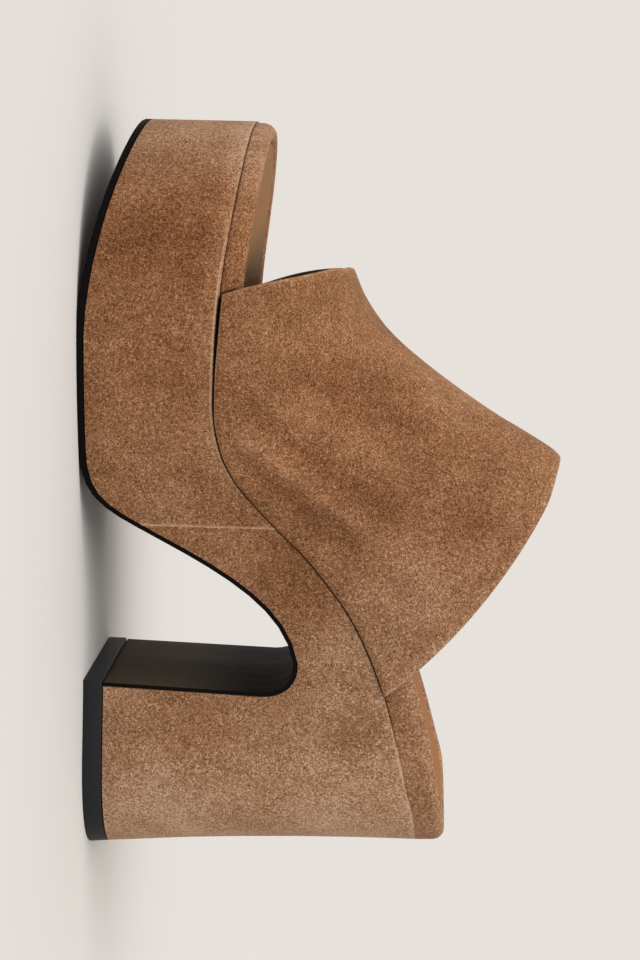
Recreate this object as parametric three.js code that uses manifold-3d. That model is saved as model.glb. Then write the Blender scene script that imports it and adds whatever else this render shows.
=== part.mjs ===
// A left platform mule with an open toe, in suede: a wide one-piece upper over a padded footbed, a suede-covered
// platform and block heel, and a black outsole that runs under the arch and down the front of the heel.
// Millimetres. While it is built, x runs from the back of the heel to the toe, y to the outer side, z up from the floor.
import * as THREE from "three";
import { mergeVertices } from "three/addons/utils/BufferGeometryUtils.js";
import Module from "manifold-3d";

const wasm = await Module();
wasm.setup();

// Overall sizes
const shoeLength = 230; // back of the top lift to the toe, on the floor
const ballWidth = 90; // widest part of the platform
const platformHeight = 40.5; // floor to the upper's seam, at the ball
const heelPitch = 63.5; // how far the heel seat stands above the ball
const toeLift = 8; // how far the seam climbs from the ball to the toe

// Clearance between curved pieces that meet
const fitGap = 0.3;

// Outsole
const soleThickness = 1.9; // under the forefoot
const waistThickness = 1.1; // under the arch and on the heel breast
const toeSpring = 13.6; // outsole at the toe, above the floor
const treadFront = 167; // where the flat tread ends and the toe spring starts
const treadBack = 134; // where the flat tread ends and the arch starts
const springPower = 1.7; // how late the toe spring sets in

// Arch and heel
const breastTop = 57; // front of the heel, high up
const breastFoot = 58.5; // front of the heel, at the top lift
const crownReach = 9.5; // from the heel breast forwards to the highest point of the arch
const shankDepth = 24.4; // from the seam down to the highest point of the arch
const liftThickness = 6; // black top lift
const liftLip = 0.5; // how far the top lift stands out in front of the heel breast
const heelLean = 4.6; // how far the back of the heel leans forwards on its way up
const heelNarrowing = 1.5; // how much narrower the heel is at its front foot corners, on each side
const coverSeamOuter = 108.5; // seam between platform cover and heel cover, on the outer side
const coverSeamInner = 97; // and on the inner side

// Roundings of the plan outline: length and squareness of the toe and heel ends
const toeEnd = { length: 56, power: 2.5 };
const heelEnd = { length: 33, power: 2.35 };

// Footbed and sock
const footbedInset = 1.2; // footbed's side, inside the platform's side
const footbedThickness = { heel: 9, toe: 6 }; // up to the top of its padded rim
const rimWidth = 4.6; // padded rim round the sock
const recessDepth = 1.7; // sock's bed, below the rim
const sockThickness = 1.2;

// Upper
const upperWall = 2; // suede and lining together
const upperFront = { outer: 181, inner: 174 }; // lower front corners, from the heel
const upperBack = { outer: 57, inner: 57 }; // lower back corners
const throat = { at: 187, height: 79, aside: -4 }; // ridge at the toe opening: aside is towards the inner side
const instep = { at: 126.5, height: 147, aside: -2 }; // ridge at the top of the instep
const frontBow = { outer: 1.6, inner: -1 }; // how far the toe opening's edge bows forwards on each side
const backBow = 5; // how far the topline bows up
const cornerRound = { throat: 0.014, instep: 0.02 }; // how far both edges draw back at the ridge, as shares of it
const sideBulge = 1.6; // how far the side walls swell out over the ball
const frontPower = 2.35; // squareness of the arch over the toes
const backPower = 2.25; // and at the topline

// Plan outline. at: share of the length. centre, breadth: shares of the ball width, centre positive to the outer side.
const outlineRows = [
  { at: 0.0, centre: 0.0, breadth: 0.69 },
  { at: 0.14, centre: 0.0, breadth: 0.695 },
  { at: 0.28, centre: 0.008, breadth: 0.675 },
  { at: 0.42, centre: 0.03, breadth: 0.7 },
  { at: 0.55, centre: 0.042, breadth: 0.81 },
  { at: 0.66, centre: 0.034, breadth: 0.94 },
  { at: 0.76, centre: 0.018, breadth: 1.0 },
  { at: 0.88, centre: -0.016, breadth: 0.985 },
  { at: 1.0, centre: -0.05, breadth: 0.93 },
];

// Seam line between the upper and the sole, seen from the side. at: share of the length.
// rise: share of the heel pitch. lift: share of the toe lift.
const seamRows = [
  { at: 0, rise: 1, lift: 0 },
  { at: 0.075, rise: 0.985, lift: 0 },
  { at: 0.11, rise: 0.955, lift: 0 },
  { at: 0.187, rise: 0.888, lift: 0 },
  { at: 0.245, rise: 0.828, lift: 0 },
  { at: 0.304, rise: 0.748, lift: 0 },
  { at: 0.357, rise: 0.652, lift: 0 },
  { at: 0.4, rise: 0.543, lift: 0 },
  { at: 0.439, rise: 0.428, lift: 0 },
  { at: 0.474, rise: 0.302, lift: 0 },
  { at: 0.509, rise: 0.185, lift: 0 },
  { at: 0.543, rise: 0.09, lift: 0 },
  { at: 0.583, rise: 0.027, lift: 0 },
  { at: 0.63, rise: 0, lift: 0 },
  { at: 0.683, rise: 0, lift: 0.01 },
  { at: 0.743, rise: 0, lift: 0.08 },
  { at: 0.79, rise: 0, lift: 0.19 },
  { at: 0.852, rise: 0, lift: 0.41 },
  { at: 0.913, rise: 0, lift: 0.66 },
  { at: 1, rise: 0, lift: 1 },
];

// Arch from the tread to its crown, as the handles of two curves.
// back: share of the way from the tread to the crown. up: share of the crown's height.
const archRows = [
  { back: 0.26, up: 0 },
  { back: 0.3, up: 0.127 },
  { back: 0.43, up: 0.368 },
  { back: 0.597, up: 0.69 },
  { back: 0.747, up: 0.955 },
];

// Ridge of the upper from the throat to the instep. along: share of the way in x. rise: share of the way up.
const ridgeRows = [
  { along: 0, rise: 0 },
  { along: 0.15, rise: 0.057 },
  { along: 0.3, rise: 0.147 },
  { along: 0.4, rise: 0.235 },
  { along: 0.53, rise: 0.38 },
  { along: 0.65, rise: 0.53 },
  { along: 0.76, rise: 0.68 },
  { along: 0.87, rise: 0.85 },
  { along: 0.95, rise: 0.96 },
  { along: 1, rise: 1 },
];

// How finely the curved forms are divided
const heelSteps = 11;
const sideSteps = 36;
const toeSteps = 13;
const upperSteps = { along: 28, across: 40 };

const lerp = THREE.MathUtils.lerp;
const smoothstep = THREE.MathUtils.smoothstep;

// A smooth curve through the rows that never overshoots them.
function smooth(rows, from, to) {
  const xs = rows.map((row) => row[from]);
  const ys = rows.map((row) => row[to]);
  const slopes = xs.slice(1).map((x, i) => (ys[i + 1] - ys[i]) / (x - xs[i]));
  const tangents = xs.map((_, i) => {
    if (i === 0) return slopes[0];
    if (i === xs.length - 1) return slopes[i - 1];
    const [a, b] = [slopes[i - 1], slopes[i]];
    return a * b <= 0 ? 0 : (2 * a * b) / (a + b);
  });
  return (x) => {
    const clamped = THREE.MathUtils.clamp(x, xs[0], xs[xs.length - 1]);
    const next = xs.findIndex((knot) => knot >= clamped);
    const i = Math.max(next, 1) - 1;
    const width = xs[i + 1] - xs[i];
    const t = (clamped - xs[i]) / width;
    const t2 = t * t;
    const t3 = t2 * t;
    return (
      (2 * t3 - 3 * t2 + 1) * ys[i] +
      (t3 - 2 * t2 + t) * width * tangents[i] +
      (3 * t2 - 2 * t3) * ys[i + 1] +
      (t3 - t2) * width * tangents[i + 1]
    );
  };
}

const centreShare = smooth(outlineRows, "at", "centre");
const breadthShare = smooth(outlineRows, "at", "breadth");
const seamRise = smooth(seamRows, "at", "rise");
const seamLift = smooth(seamRows, "at", "lift");
const ridgeRise = smooth(ridgeRows, "along", "rise");

// Height of the seam line above the floor.
function seamHeight(x) {
  const at = x / shoeLength;
  return platformHeight + heelPitch * seamRise(at) + toeLift * seamLift(at);
}

// Unit vector square to the seam line, pointing up, in the side view.
function seamNormal(x) {
  const step = 0.5;
  const slope = (seamHeight(x + step) - seamHeight(x - step)) / (2 * step);
  return new THREE.Vector2(-slope, 1).normalize();
}

// Share of the full breadth that a rounded end leaves, a distance into that end.
function endShare(end, into) {
  const u = THREE.MathUtils.clamp(into / end.length, 0, 1);
  return Math.pow(Math.max(1 - Math.pow(u, end.power), 0), 1 / end.power);
}

// Outline's y at x on one side: side is 1 on the outer side and -1 on the inner side.
function edgeY(x, side) {
  const at = x / shoeLength;
  const share =
    endShare(heelEnd, heelEnd.length - x) * endShare(toeEnd, x - (shoeLength - toeEnd.length));
  return ballWidth * (centreShare(at) + (side * breadthShare(at) * share) / 2);
}

// Places along the shoe where its sections stand, closest together round the heel and the toe.
function stations() {
  const quarter = Math.PI / 2;
  const xs = [];
  for (let i = 0; i < heelSteps; i++) {
    const angle = quarter * (1 - i / heelSteps);
    xs.push(heelEnd.length * (1 - Math.pow(Math.sin(angle), 2 / heelEnd.power)));
  }
  const toeStart = shoeLength - toeEnd.length;
  for (let i = 0; i < sideSteps; i++) xs.push(lerp(heelEnd.length, toeStart, i / sideSteps));
  for (let i = 0; i <= toeSteps; i++) {
    const angle = (quarter * i) / toeSteps;
    xs.push(toeStart + toeEnd.length * Math.pow(Math.sin(angle), 2 / toeEnd.power));
  }
  return xs;
}

// The plan outline as a closed loop of points: heel, outer side, toe, inner side. inset moves it inwards.
function planLoop(inset) {
  const xs = stations();
  const inner = xs.slice(1, -1).reverse();
  const loop = [
    ...xs.map((x) => new THREE.Vector2(x, edgeY(x, 1))),
    ...inner.map((x) => new THREE.Vector2(x, edgeY(x, -1))),
  ];
  const count = loop.length;
  return loop.map((point, i) => {
    const along = loop[(i + 1) % count].clone().sub(loop[(i + count - 1) % count]);
    const inwards = new THREE.Vector2(along.y, -along.x).normalize();
    return point.clone().addScaledVector(inwards, inset);
  });
}

// A solid through rings of equal length, closed at both ends by strips between the loop's two sides.
function loft(rings) {
  const count = rings[0].length;
  const vertices = rings.flat().flatMap((p) => [p.x, p.y, p.z]);
  const faces = [];
  for (let r = 0; r + 1 < rings.length; r++) {
    for (let i = 0; i < count; i++) {
      const a = r * count + i;
      const b = r * count + ((i + 1) % count);
      faces.push(a, a + count, b, b, a + count, b + count);
    }
  }
  const cap = (start, turned) => {
    for (let i = 0; i < count / 2; i++) {
      const quad = [i, i + 1, (count - i - 1) % count, (count - i) % count].map((k) => start + k);
      const [a, b, c, d] = turned ? quad.reverse() : quad;
      if (a !== b && b !== c && a !== c) faces.push(a, b, c);
      if (a !== c && c !== d && a !== d) faces.push(a, c, d);
    }
  };
  cap(0, false);
  cap((rings.length - 1) * count, true);
  return solid(vertices, faces);
}

function solid(vertices, faces) {
  const geometry = new THREE.BufferGeometry();
  geometry.setAttribute("position", new THREE.BufferAttribute(new Float32Array(vertices), 3));
  geometry.setIndex(faces);
  return solidOf(geometry);
}

// A closed three.js geometry as a manifold solid.
function solidOf(geometry) {
  geometry.deleteAttribute("normal");
  geometry.deleteAttribute("uv");
  const merged = mergeVertices(geometry, 1e-4);
  const vertProperties = merged.attributes.position.array;
  const triVerts = new Uint32Array(merged.index.array);
  return new wasm.Manifold(new wasm.Mesh({ numProp: 3, vertProperties, triVerts }));
}

// The side-view outline drawn in x and z, as a slab right across the shoe.
function acrossShoe(outline) {
  const depth = 2 * ballWidth;
  const shape = new THREE.Shape(outline);
  const geometry = new THREE.ExtrudeGeometry(shape, { depth, bevelEnabled: false });
  geometry.rotateX(Math.PI / 2);
  geometry.translate(0, depth / 2, 0);
  return solidOf(geometry);
}

// Outer form of the sole unit seen from above, at each height: the heel leans in and narrows to its front corners.
function bodyOutline() {
  const seat = platformHeight + heelPitch;
  const heights = [0, 0.06, 0.16, 0.3, 0.46, 0.64, 0.82, 1.1].map((share) => share * seat);
  const base = planLoop(0);
  const rings = heights.map((z) => {
    const below = Math.max(1 - z / seat, 0);
    const lean = heelLean * (1 - Math.pow(below, 2.2));
    return base.map((p) => {
      const towardsHeel = 1 - smoothstep(p.x, 0, breastTop);
      const towardsBreast = smoothstep(p.x, breastTop * 0.45, breastTop) * (1 - smoothstep(p.x, breastTop, breastTop * 1.3));
      const narrowing = heelNarrowing * Math.pow(below, 1.4) * towardsBreast;
      return new THREE.Vector3(p.x + lean * towardsHeel, p.y - Math.sign(p.y) * narrowing, z);
    });
  });
  return loft(rings);
}

// Lower outline of the shoe in the side view, from the toe back to the top lift.
function undersidePath() {
  const toeReach = 4; // past the toe, so that the cut goes right through
  const springSteps = 9;
  const points = [];
  for (let i = 0; i <= springSteps; i++) {
    const x = lerp(shoeLength + toeReach, treadFront, i / springSteps);
    const share = (x - treadFront) / (shoeLength - treadFront);
    points.push(new THREE.Vector2(x, toeSpring * Math.pow(share, springPower)));
  }
  const crown = new THREE.Vector2(breastTop + crownReach, 0);
  crown.y = seamHeight(crown.x) - shankDepth;
  const handles = archRows.map(
    (row) => new THREE.Vector2(lerp(treadBack, crown.x, row.back), crown.y * row.up),
  );
  const tread = new THREE.Vector2(treadBack, 0);
  const rising = new THREE.CubicBezierCurve(tread, handles[0], handles[1], handles[2]);
  const topping = new THREE.CubicBezierCurve(handles[2], handles[3], handles[4], crown);
  const breast = new THREE.Vector2(breastTop, crown.y - crownReach);
  const turning = new THREE.CubicBezierCurve(
    crown,
    new THREE.Vector2(crown.x - crownReach * 0.62, crown.y + 0.3),
    new THREE.Vector2(breast.x, crown.y - crownReach * 0.36),
    breast,
  );
  points.push(...rising.getPoints(7), ...topping.getPoints(8).slice(1), ...turning.getPoints(8).slice(1));
  points.push(new THREE.Vector2(breastFoot, liftThickness));
  return points;
}

// The path moved into the shoe by the outsole's thickness.
function soleInnerPath(path, extra) {
  return path.map((p, i) => {
    const before = path[Math.max(i - 1, 0)];
    const after = path[Math.min(i + 1, path.length - 1)];
    const along = after.clone().sub(before).normalize();
    const inwards = new THREE.Vector2(along.y, -along.x);
    const waist = 1 - smoothstep(p.x, treadBack - 25, treadBack);
    return p.clone().addScaledVector(inwards, lerp(soleThickness, waistThickness, waist) + extra);
  });
}

const underside = undersidePath();
const body = bodyOutline();

// Black outsole: one strip from the toe, under the arch and down the heel breast.
function outsole() {
  const inner = soleInnerPath(underside, 0);
  inner[inner.length - 1].y = liftThickness + fitGap;
  const outer = underside.map((p) => p.clone());
  outer[outer.length - 1].y = liftThickness + fitGap;
  return body.intersect(acrossShoe([...outer, ...inner.reverse()]));
}

// Suede-covered block between the seam line and the outsole, platform and heel in one.
function coveredBlock() {
  const inner = soleInnerPath(underside, fitGap);
  inner[inner.length - 1].y = liftThickness + fitGap;
  const seam = stations().map((x) => new THREE.Vector2(x, seamHeight(x)));
  const reach = 6; // past the heel and the toe
  const seatBack = new THREE.Vector2(-reach, seam[0].y);
  const toeTop = new THREE.Vector2(shoeLength + reach, seam[seam.length - 1].y);
  const heelFoot = new THREE.Vector2(-reach, liftThickness + fitGap);
  return body.intersect(acrossShoe([seatBack, ...seam, toeTop, ...inner, heelFoot]));
}

// Everything in front of the seam between the two covers, moved forwards by shift.
function aheadOfSeam(shift) {
  const far = 2 * shoeLength;
  const swing = Math.atan2(coverSeamOuter - coverSeamInner, ballWidth * breadthShare(0.45));
  const box = new THREE.BoxGeometry(far, far, far);
  box.translate(far / 2 + shift, 0, 0);
  box.rotateZ(-swing);
  box.translate((coverSeamOuter + coverSeamInner) / 2, 0, 0);
  return solidOf(box);
}

// Black top lift under the heel.
function topLift() {
  const front = breastFoot + liftLip;
  const outline = [
    new THREE.Vector2(-10, 0),
    new THREE.Vector2(front, 0),
    new THREE.Vector2(front, liftThickness),
    new THREE.Vector2(-10, liftThickness),
  ];
  return body.intersect(acrossShoe(outline));
}

// A layer on the sloping seat: rings at an inset from the platform's edge. Each stands square to the seat, up from it
// or below the top of the rim.
function seatLayer(rings) {
  return loft(
    rings.map(({ inset, up, below }) =>
      planLoop(inset).map((p) => {
        const shifted = p.x + heelLean * (1 - smoothstep(p.x, 0, breastTop));
        const rimTop = lerp(footbedThickness.heel, footbedThickness.toe, p.x / shoeLength);
        const normal = seamNormal(p.x).multiplyScalar(up ?? rimTop - below);
        return new THREE.Vector3(shifted + normal.x, p.y, seamHeight(p.x) + normal.y);
      }),
    ),
  );
}

// Padded footbed wrapped in suede, with a rounded rim round the bed of the sock.
function footbed() {
  const outside = footbedInset;
  return seatLayer([
    { inset: outside + 0.7, up: fitGap },
    { inset: outside, up: fitGap + 0.8 },
    { inset: outside, below: 2.4 },
    { inset: outside + 0.7, below: 0.8 },
    { inset: outside + 2.2, below: 0 },
    { inset: outside + rimWidth - 0.8, below: 0.6 },
    { inset: outside + rimWidth, below: recessDepth },
  ]);
}

// Tan leather sock in the footbed's recess.
function sock() {
  const under = recessDepth - fitGap;
  const edge = footbedInset + rimWidth + fitGap;
  return seatLayer([
    { inset: edge, below: under },
    { inset: edge, below: under - sockThickness * 0.6 },
    { inset: edge + 0.6, below: under - sockThickness },
  ]);
}

// A point on the outside of the upper. way runs from the toe opening to the topline, angle from the outer seam over
// the ridge to the inner seam.
function upperPoint(way, angle) {
  const side = angle <= Math.PI / 2 ? 1 : -1;
  const name = side > 0 ? "outer" : "inner";
  const power = lerp(frontPower, backPower, way);
  const up = Math.pow(Math.abs(Math.sin(angle)), 2 / power);
  const out = Math.pow(Math.abs(Math.cos(angle)), 2 / power);
  const atRidge = smoothstep(up, 0.86, 1);
  const t = lerp(cornerRound.throat * atRidge, 1 - cornerRound.instep * atRidge, way);
  const footX = lerp(upperFront[name], upperBack[name], t);
  const ridgeX = lerp(throat.at, instep.at, t);
  const ridgeZ = lerp(throat.height, instep.height, ridgeRise(t));
  const foot = new THREE.Vector2(footX, seamHeight(footX) + fitGap);
  const chord = new THREE.Vector2(ridgeX, ridgeZ).sub(foot);
  const square = new THREE.Vector2(-chord.y, chord.x).normalize();
  const bow = lerp(-frontBow[name], backBow, smoothstep(t, 0, 1)) * 4 * up * (1 - up);
  const point = foot.addScaledVector(chord, up).addScaledVector(square, bow);
  // Low on the wall the breadth follows the platform's edge right beside it, and higher up the foot's own section.
  const edgeX = lerp(point.x, footX, smoothstep(up, 0.1, 0.6));
  const overhang = upperWall + fitGap - footbedInset;
  const swell = sideBulge * Math.sin(Math.PI * Math.min(up * 1.6, 1)) * (1 - 0.5 * t);
  const halfWidth = edgeY(edgeX, side) + side * (overhang + swell);
  const aside = lerp(throat.aside, instep.aside, t);
  return new THREE.Vector3(point.x, halfWidth * out + aside * up, point.y);
}

// The upper is one wall: the outer surface and the same surface moved in by the wall, joined round all four edges.
function upper() {
  const { along, across } = upperSteps;
  const grid = (make) => {
    const points = [];
    for (let i = 0; i <= along; i++) {
      for (let j = 0; j <= across; j++) points.push(make(i / along, (Math.PI * j) / across));
    }
    return points;
  };
  const outer = grid(upperPoint);
  const inner = grid((t, angle) => {
    const step = 0.004;
    const before = Math.max(t - step, 0);
    const after = Math.min(t + step, 1);
    const lower = Math.max(angle - step, 0);
    const higher = Math.min(angle + step, Math.PI);
    const back = upperPoint(after, angle).sub(upperPoint(before, angle));
    const over = upperPoint(t, higher).sub(upperPoint(t, lower));
    const inwards = over.cross(back).normalize();
    const point = upperPoint(t, angle);
    const moved = point.clone().addScaledVector(inwards, upperWall);
    const atSeam = angle === 0 || angle === Math.PI;
    return atSeam ? moved.setZ(seamHeight(moved.x) + fitGap) : moved;
  });
  const row = across + 1;
  const total = outer.length;
  const faces = [];
  const quad = (a, b, c, d) => faces.push(a, c, b, a, d, c);
  for (let i = 0; i < along; i++) {
    for (let j = 0; j < across; j++) {
      const a = i * row + j;
      quad(a, a + 1, a + row + 1, a + row);
      quad(total + a, total + a + row, total + a + row + 1, total + a + 1);
    }
    const [first, last] = [i * row, i * row + across];
    quad(first, first + row, total + first + row, total + first);
    quad(last, total + last, total + last + row, last + row);
  }
  for (let j = 0; j < across; j++) {
    const [front, back] = [j, along * row + j];
    quad(front, total + front, total + front + 1, front + 1);
    quad(back, back + 1, total + back + 1, total + back);
  }
  const vertices = [...outer, ...inner].flatMap((p) => [p.x, p.y, p.z]);
  return solid(vertices, faces);
}

const suede = { color: 0x966a46, roughness: 0.95, metalness: 0 };
const blackRubber = { color: 0x1d1c1d, roughness: 0.6, metalness: 0 };
const tanLeather = { color: 0xb98a60, roughness: 0.55, metalness: 0 };

function piece(name, made, finish) {
  const { numProp, vertProperties, triVerts } = made.getMesh();
  const geometry = new THREE.BufferGeometry();
  const positions = new Float32Array((vertProperties.length / numProp) * 3);
  for (let i = 0; i * 3 < positions.length; i++) {
    positions.set(vertProperties.subarray(i * numProp, i * numProp + 3), i * 3);
  }
  geometry.setAttribute("position", new THREE.BufferAttribute(positions, 3));
  geometry.setIndex(new THREE.BufferAttribute(triVerts, 1));
  geometry.computeVertexNormals();
  const mesh = new THREE.Mesh(geometry, new THREE.MeshStandardMaterial(finish));
  mesh.name = name;
  return mesh;
}

const block = coveredBlock();
const shoe = new THREE.Group();
shoe.add(
  piece("outsole", outsole(), blackRubber),
  piece("top_lift", topLift(), blackRubber),
  piece("platform", block.intersect(aheadOfSeam(fitGap / 2)), suede),
  piece("heel", block.subtract(aheadOfSeam(-fitGap / 2)), suede),
  piece("footbed", footbed(), suede),
  piece("sock", sock(), tanLeather),
  piece("upper", upper(), suede),
);

// The finished part stands with its origin on the floor, under the middle of its box.
const box = new THREE.Box3().setFromObject(shoe);
const middle = box.getCenter(new THREE.Vector3());
shoe.position.set(-middle.x, -middle.y, -box.min.z);

export default shoe;
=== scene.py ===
import math

import bpy
from mathutils import Matrix, Vector


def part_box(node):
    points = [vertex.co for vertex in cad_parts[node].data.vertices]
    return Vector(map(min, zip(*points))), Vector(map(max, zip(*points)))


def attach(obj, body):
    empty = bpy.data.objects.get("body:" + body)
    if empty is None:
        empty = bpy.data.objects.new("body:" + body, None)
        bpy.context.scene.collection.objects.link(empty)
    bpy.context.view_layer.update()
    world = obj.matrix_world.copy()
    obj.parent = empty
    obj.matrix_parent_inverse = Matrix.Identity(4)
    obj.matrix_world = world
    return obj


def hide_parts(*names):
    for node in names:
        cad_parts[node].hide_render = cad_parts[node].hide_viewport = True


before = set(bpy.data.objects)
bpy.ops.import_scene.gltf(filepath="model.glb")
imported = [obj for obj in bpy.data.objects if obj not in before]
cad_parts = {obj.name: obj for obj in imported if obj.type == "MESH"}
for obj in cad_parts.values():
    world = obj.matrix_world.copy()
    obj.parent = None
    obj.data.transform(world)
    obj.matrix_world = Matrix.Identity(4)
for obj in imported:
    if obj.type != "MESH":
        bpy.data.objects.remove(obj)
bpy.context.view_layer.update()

# Camera
# The photograph shows the outer side of the shoe, a little from the toe, with the toe at the top. So the
# camera stands beside the shoe, about as high as its seat, and is rolled a quarter turn.
camera_eye = Vector((0.134, 0.760, 0.1075))
camera_aim = Vector((0.0037, -0.0009, 0.0705))
camera_roll = math.radians(1.22)
camera_lens = 92
bpy.ops.object.select_all(action="DESELECT")
bpy.ops.object.camera_add(location=camera_eye)
camera = bpy.context.object
camera.name = "camera"
camera.data.lens = camera_lens
view_ahead = (camera_aim - camera_eye).normalized()
view_right = view_ahead.cross(Vector((1, 0, 0))).normalized()
view_up = view_right.cross(view_ahead)
camera_axes = Matrix((view_right, view_up, -view_ahead)).transposed()
camera_turn = camera_axes @ Matrix.Rotation(camera_roll, 3, "Z")
camera.rotation_mode = "QUATERNION"
camera.rotation_quaternion = camera_turn.to_quaternion()
bpy.context.scene.camera = camera

# Platform
# The forepart's block of light board under its suede cover, which is glued round it and turned over its
# top edge. The cover's back edge is sewn to the heel's cover across the arch.
heel_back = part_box("top_lift")[0].x
axis_y = (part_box("top_lift")[0].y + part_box("top_lift")[1].y) / 2
shoe_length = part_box("platform")[1].x - heel_back
ball_height = 0.0405
heel_pitch = 0.0635
toe_lift = 0.008
fit_gap = 0.0003
cover_edge = 0.0006
same_point = 2e-6
millimetres = 1000

# Seam line between the sole unit and the upper. at: share of the length. rise: share of the heel pitch.
# lift: share of the toe lift.
seam_rows = [
    {"at": 0.0, "rise": 1.0, "lift": 0},
    {"at": 0.075, "rise": 0.985, "lift": 0},
    {"at": 0.11, "rise": 0.955, "lift": 0},
    {"at": 0.187, "rise": 0.888, "lift": 0},
    {"at": 0.245, "rise": 0.828, "lift": 0},
    {"at": 0.304, "rise": 0.748, "lift": 0},
    {"at": 0.357, "rise": 0.652, "lift": 0},
    {"at": 0.4, "rise": 0.543, "lift": 0},
    {"at": 0.439, "rise": 0.428, "lift": 0},
    {"at": 0.474, "rise": 0.302, "lift": 0},
    {"at": 0.509, "rise": 0.185, "lift": 0},
    {"at": 0.543, "rise": 0.09, "lift": 0},
    {"at": 0.583, "rise": 0.027, "lift": 0},
    {"at": 0.63, "rise": 0, "lift": 0},
    {"at": 0.683, "rise": 0, "lift": 0.01},
    {"at": 0.743, "rise": 0, "lift": 0.08},
    {"at": 0.79, "rise": 0, "lift": 0.19},
    {"at": 0.852, "rise": 0, "lift": 0.41},
    {"at": 0.913, "rise": 0, "lift": 0.66},
    {"at": 1.0, "rise": 0, "lift": 1.0},
]


def smooth(rows, across, up):
    """A smooth curve through the rows that never overshoots them."""
    xs = [row[across] for row in rows]
    ys = [row[up] for row in rows]
    slopes = [(ys[i + 1] - ys[i]) / (xs[i + 1] - xs[i]) for i in range(len(xs) - 1)]
    tangents = [slopes[0]]
    for before, after in zip(slopes, slopes[1:]):
        tangents.append(0 if before * after <= 0 else 2 * before * after / (before + after))
    tangents.append(slopes[-1])

    def curve(x):
        x = min(max(x, xs[0]), xs[-1])
        i = max(next(k for k, knot in enumerate(xs) if knot >= x), 1) - 1
        width = xs[i + 1] - xs[i]
        t = (x - xs[i]) / width
        return (
            (2 * t**3 - 3 * t**2 + 1) * ys[i]
            + (t**3 - 2 * t**2 + t) * width * tangents[i]
            + (3 * t**2 - 2 * t**3) * ys[i + 1]
            + (t**3 - t**2) * width * tangents[i + 1]
        )

    return curve


seam_rise = smooth(seam_rows, "at", "rise")
seam_lift = smooth(seam_rows, "at", "lift")


def seam_height(along):
    """Height of the seam line, along metres in front of the back of the heel."""
    at = along / shoe_length
    return ball_height + heel_pitch * seam_rise(at) + toe_lift * seam_lift(at)


# The covers' seam crosses the arch at a slant, further forward on the outer side.
cover_seam_outer = 0.1085
cover_seam_inner = 0.097
arch_breadth = 0.0645
cover_seam_slope = (cover_seam_outer - cover_seam_inner) / arch_breadth


def arch_seam_x(y):
    """Where the covers' seam crosses the arch, that far across the shoe."""
    return heel_back + (cover_seam_outer + cover_seam_inner) / 2 + (y - axis_y) * cover_seam_slope


def pick(piece):
    """Selects one piece alone."""
    bpy.ops.object.select_all(action="DESELECT")
    piece.select_set(True)
    bpy.context.view_layer.objects.active = piece


def edit(piece, *steps):
    """Runs edit-mode steps on the whole piece."""
    pick(piece)
    bpy.ops.object.mode_set(mode="EDIT")
    bpy.ops.mesh.select_all(action="SELECT")
    for step in steps:
        step()
    bpy.ops.object.mode_set(mode="OBJECT")


def finished(piece, kind, **settings):
    """Adds a modifier with its settings and applies it."""
    pick(piece)
    modifier = piece.modifiers.new(kind.lower(), kind)
    for key, value in settings.items():
        setattr(modifier, key, value)
    bpy.ops.object.modifier_apply(modifier=modifier.name)


def rounded(piece, radius, sharp, smooth_under):
    """Rounds the edges above one angle and smooths the shading under another, both in degrees."""
    sharp_angle = math.radians(sharp)
    finished(piece, "BEVEL", width=radius, segments=3, limit_method="ANGLE", angle_limit=sharp_angle)
    bpy.ops.object.shade_smooth_by_angle(angle=math.radians(smooth_under))


def cover_from_frame(node, name, radius, moved=0):
    """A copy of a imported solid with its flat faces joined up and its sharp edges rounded. Its face
    at the covers' seam is moved along the shoe by moved, so that the two covers meet."""
    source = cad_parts[node]
    piece = bpy.data.objects.new(name, source.data.copy())
    bpy.context.scene.collection.objects.link(piece)
    piece.data.materials.clear()
    flat_angle = math.radians(0.8)
    edit(
        piece,
        lambda: bpy.ops.mesh.customdata_custom_splitnormals_clear(),
        lambda: bpy.ops.mesh.remove_doubles(threshold=same_point),
        lambda: bpy.ops.mesh.dissolve_limited(angle_limit=flat_angle),
        lambda: bpy.ops.mesh.normals_make_consistent(inside=False),
    )
    for vertex in piece.data.vertices:
        if abs(vertex.co.x - arch_seam_x(vertex.co.y)) < 2 * abs(moved):
            vertex.co.x += moved
    rounded(piece, radius, sharp=40, smooth_under=35)
    return piece


class Signal:
    """One socket of a material, so that shader maths is written as arithmetic."""

    def __init__(self, socket):
        self.socket = socket

    def maths(self, operation, *values, clamp=False):
        """A maths node on these values."""
        node = self.socket.id_data.nodes.new("ShaderNodeMath")
        node.operation = operation
        node.use_clamp = clamp
        for entry, value in zip(node.inputs, values):
            connect(value, entry)
        return Signal(node.outputs[0])

    def __add__(self, other):
        return self.maths("ADD", self, other)

    def __radd__(self, other):
        return self.maths("ADD", other, self)

    def __sub__(self, other):
        return self.maths("SUBTRACT", self, other)

    def __rsub__(self, other):
        return self.maths("SUBTRACT", other, self)

    def __mul__(self, other):
        return self.maths("MULTIPLY", self, other)

    def __rmul__(self, other):
        return self.maths("MULTIPLY", other, self)

    def __truediv__(self, other):
        return self.maths("DIVIDE", self, other)

    def clipped(self):
        """Kept between 0 and 1."""
        return self.maths("ADD", self, 0.0, clamp=True)

    def ramp(self, start, end):
        """0 before start and 1 after end, with a soft turn at both."""
        node = self.socket.id_data.nodes.new("ShaderNodeMapRange")
        node.interpolation_type = "SMOOTHSTEP"
        for entry, value in zip(node.inputs, (self, start, end, 0.0, 1.0)):
            connect(value, entry)
        return Signal(node.outputs[0])

    def fade(self, start, end):
        """1 before start and 0 after end."""
        return 1 - self.ramp(start, end)


def connect(value, entry):
    """Puts a plain value on a socket, or links a signal to it."""
    if isinstance(value, Signal):
        value.socket.id_data.links.new(value.socket, entry)
    else:
        entry.default_value = value


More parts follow.
